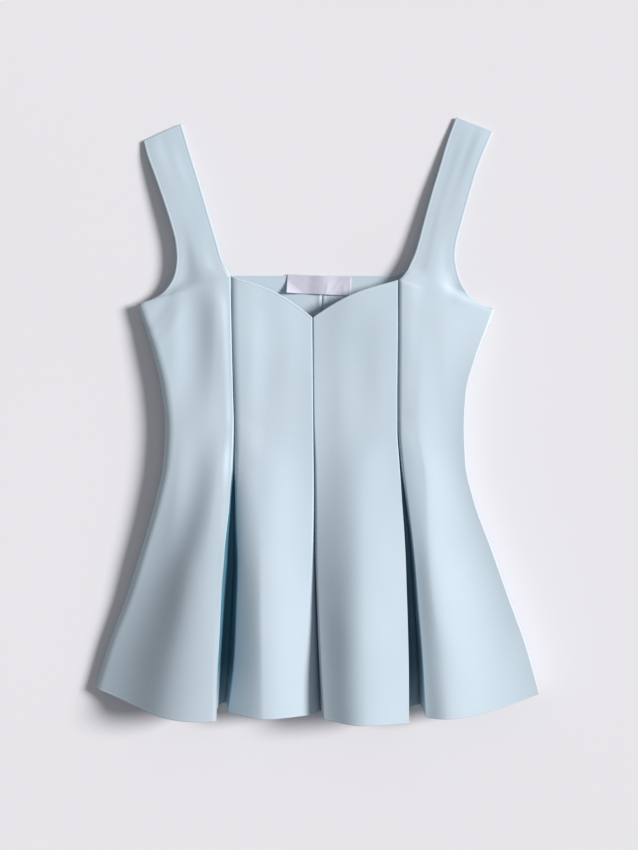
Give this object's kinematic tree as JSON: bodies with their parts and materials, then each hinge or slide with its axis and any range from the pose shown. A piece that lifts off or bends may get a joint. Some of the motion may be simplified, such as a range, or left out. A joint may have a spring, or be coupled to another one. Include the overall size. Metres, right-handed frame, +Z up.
{
  "type": "peplum top",
  "caption": "Sleeveless peplum top laid flat: princess-seamed bodice with wide straps, sweetheart neckline and a flared skirt whose seams open into deep folds",
  "frame": {"origin": "on the surface the top lies on, under the middle of its overall outline", "axes": "+X across the top, to the right as it is seen from above; +Y from the hem up to the straps; +Z up, away from the surface"},
  "size_m": [0.4662, 0.6329, 0.054],
  "materials": {
    "cloth": "pale blue bonded crepe, matt with a soft sheen",
    "label": "blank woven satin ribbon, off-white"
  },
  "bodies": {
    "root": {"side_front_left": "cloth", "centre_front_left": "cloth", "centre_front_right": "cloth", "side_front_right": "cloth", "back_left": "cloth", "back_right": "cloth", "neck_label": "label"}
  },
  "joints": []
}
